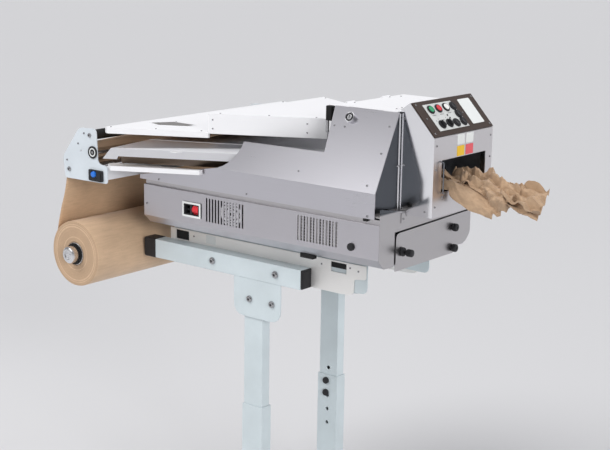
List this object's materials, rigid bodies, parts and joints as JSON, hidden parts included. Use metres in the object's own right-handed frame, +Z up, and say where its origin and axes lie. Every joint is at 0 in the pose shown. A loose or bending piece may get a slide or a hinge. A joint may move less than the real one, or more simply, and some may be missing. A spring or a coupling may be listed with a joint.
{
  "type": "paper cushioning converter on a stand",
  "caption": "Paper void-fill converter: a rear roll feeds a tapering chute, toothed rollers and a cutter, and crumpled paper leaves a front hood; stands on telescopic legs.",
  "frame": {"origin": "on the floor, under the middle of the bounding box", "axes": "+X towards the paper exit, +Y across the machine away from the vented side, +Z up"},
  "size_m": [1.3, 0.736, 1.2558],
  "materials": {
    "steel": "satin",
    "white_steel": "satin",
    "inner_steel": "satin",
    "paint": "satin",
    "zinc": "satin",
    "kraft_paper": "matte",
    "cardboard": "matte",
    "black_plastic": "matte",
    "black_rubber": "matte",
    "bezel": "satin",
    "label": "satin",
    "green": "gloss",
    "red": "gloss",
    "white": "gloss",
    "blue": "gloss",
    "chrome": "polished",
    "aluminium": "satin",
    "motor_paint": "satin"
  },
  "bodies": {
    "base": {"floor_rail_near": "paint", "floor_rail_far": "paint", "outer_leg_near": "paint", "outer_leg_far": "paint", "floor_cross_beam": "paint", "levelling_foot_near_rear": "black_rubber", "levelling_foot_near_front": "black_rubber", "levelling_foot_far_rear": "black_rubber", "levelling_foot_far_front": "black_rubber"},
    "head": {"inner_leg_near": "paint", "inner_leg_far": "paint", "cradle_tube_near": "paint", "cradle_tube_far": "paint", "machine_saddle": "paint", "roll_arm": "paint", "infeed_plate_near": "paint", "infeed_plate_far": "paint", "cradle_plate_near": "zinc", "cradle_plate_far": "zinc", "paper_web": "kraft_paper", "paper_pad": "kraft_paper", "chute_floor": "white_steel", "chute_top": "white_steel", "infeed_cross_tray": "white_steel", "inner_chassis": "inner_steel", "mechanism_frame": "inner_steel", "side_panel_near": "steel", "side_panel_far": "steel", "front_plate": "steel", "side_cover_near": "steel", "side_cover_far": "steel", "exit_hood": "steel", "drive_motor": "motor_paint", "panel_bezel": "bezel", "panel_plate": "label", "power_inlet": "black_plastic"},
    "paper_roll": {"paper_roll": "kraft_paper", "roll_core": "cardboard", "roll_hub": "aluminium"},
    "rear_guide": {"rear_guide_roller": "chrome"},
    "upper_guide": {"upper_guide_roller": "black_rubber"},
    "lower_guide": {"lower_guide_roller": "chrome"},
    "drive_gear": {"drive_gear": "chrome"},
    "idler_gear": {"idler_gear": "chrome"},
    "cutter": {"cutter_blade": "chrome"},
    "roof_lid": {"roof_lid": "white_steel"},
    "lid_lock": {"lid_lock": "chrome"},
    "front_door": {"front_door": "steel"},
    "door_plunger": {"door_plunger": "black_plastic"},
    "power_rocker": {"power_rocker": "red"},
    "infeed_button": {"infeed_button": "blue"},
    "button_green": {"button_green": "green"},
    "button_red": {"button_red": "red"},
    "button_white": {"button_white": "white"},
    "button_black_upper": {"button_black_upper": "black_plastic"},
    "button_black_middle": {"button_black_middle": "black_plastic"},
    "button_black_lower": {"button_black_lower": "black_plastic"},
    "button_black_inner": {"button_black_inner": "black_plastic"},
    "selector_left": {"selector_left": "black_plastic"},
    "selector_right": {"selector_right": "black_plastic"}
  },
  "joints": [
    {"name": "height_adjust", "type": "slide", "parent": "base", "child": "head", "axis": [0, 0, 1], "range_m": [-0.12, 0.12]},
    {"name": "roll_spin", "type": "hinge", "parent": "head", "child": "paper_roll", "pos_m": [-0.562, 0, 0.79], "axis": [0, 1, 0], "continuous": true},
    {"name": "rear_guide_spin", "type": "hinge", "parent": "head", "child": "rear_guide", "pos_m": [-0.576, 0, 1.017], "axis": [0, 1, 0], "continuous": true},
    {"name": "upper_guide_spin", "type": "hinge", "parent": "head", "child": "upper_guide", "pos_m": [-0.496, 0, 1.114], "axis": [0, 1, 0], "continuous": true},
    {"name": "lower_guide_spin", "type": "hinge", "parent": "head", "child": "lower_guide", "pos_m": [-0.484, 0, 1.072], "axis": [0, 1, 0], "continuous": true},
    {"name": "drive_gear_spin", "type": "hinge", "parent": "head", "child": "drive_gear", "pos_m": [0.23, 0, 1.043], "axis": [0, 1, 0], "continuous": true},
    {"name": "idler_gear_spin", "type": "hinge", "parent": "head", "child": "idler_gear", "pos_m": [0.23, 0, 1.127], "axis": [0, 1, 0], "continuous": true},
    {"name": "cutter_stroke", "type": "slide", "parent": "head", "child": "cutter", "axis": [0, 0, -1], "range_m": [0, 0.085]},
    {"name": "roof_lid_hinge", "type": "hinge", "parent": "head", "child": "roof_lid", "pos_m": [0.141, 0, 1.233], "axis": [0, -1, 0], "range_deg": [0, 100]},
    {"name": "lid_lock_turn", "type": "hinge", "parent": "head", "child": "lid_lock", "pos_m": [0.198, -0.152, 1.208], "axis": [0, 0.8944, -0.4472], "range_deg": [0, 90]},
    {"name": "front_door_hinge", "type": "hinge", "parent": "head", "child": "front_door", "pos_m": [0.3415, 0.1605, 0.91], "axis": [0, 0, 1], "range_deg": [0, 110]},
    {"name": "door_plunger_pull", "type": "slide", "parent": "front_door", "child": "door_plunger", "axis": [1, 0, 0], "range_m": [0, 0.01], "stiffness_N_per_m": 400, "springref_m": -0.005},
    {"name": "button_green_press", "type": "slide", "parent": "head", "child": "button_green", "axis": [-0.7335, 0, -0.6797], "range_m": [0, 0.003], "stiffness_N_per_m": 300, "springref_m": -0.001},
    {"name": "button_red_press", "type": "slide", "parent": "head", "child": "button_red", "axis": [-0.7335, 0, -0.6797], "range_m": [0, 0.003], "stiffness_N_per_m": 300, "springref_m": -0.001},
    {"name": "button_white_press", "type": "slide", "parent": "head", "child": "button_white", "axis": [-0.7335, 0, -0.6797], "range_m": [0, 0.003], "stiffness_N_per_m": 300, "springref_m": -0.001},
    {"name": "button_black_upper_press", "type": "slide", "parent": "head", "child": "button_black_upper", "axis": [-0.7335, 0, -0.6797], "range_m": [0, 0.003], "stiffness_N_per_m": 300, "springref_m": -0.001},
    {"name": "button_black_middle_press", "type": "slide", "parent": "head", "child": "button_black_middle", "axis": [-0.7335, 0, -0.6797], "range_m": [0, 0.003], "stiffness_N_per_m": 300, "springref_m": -0.001},
    {"name": "button_black_lower_press", "type": "slide", "parent": "head", "child": "button_black_lower", "axis": [-0.7335, 0, -0.6797], "range_m": [0, 0.003], "stiffness_N_per_m": 300, "springref_m": -0.001},
    {"name": "button_black_inner_press", "type": "slide", "parent": "head", "child": "button_black_inner", "axis": [-0.7335, 0, -0.6797], "range_m": [0, 0.003], "stiffness_N_per_m": 300, "springref_m": -0.001},
    {"name": "selector_left_turn", "type": "hinge", "parent": "head", "child": "selector_left", "pos_m": [0.39461, -0.072, 1.202], "axis": [0.7335, 0, 0.6797], "range_deg": [-45, 45]},
    {"name": "selector_right_turn", "type": "hinge", "parent": "head", "child": "selector_right", "pos_m": [0.39461, -0.041, 1.202], "axis": [0.7335, 0, 0.6797], "range_deg": [-45, 45]},
    {"name": "power_rocker_tip", "type": "hinge", "parent": "head", "child": "power_rocker", "pos_m": [-0.2305, -0.2225, 0.9375], "axis": [1, 0, 0], "range_deg": [-16, 0]},
    {"name": "infeed_button_press", "type": "slide", "parent": "head", "child": "infeed_button", "axis": [0, 1, 0], "range_m": [0, 0.003], "stiffness_N_per_m": 300, "springref_m": -0.001}
  ],
  "couplings": [
    {"joint": "idler_gear_spin", "follows": "drive_gear_spin", "ratio": -1}
  ]
}
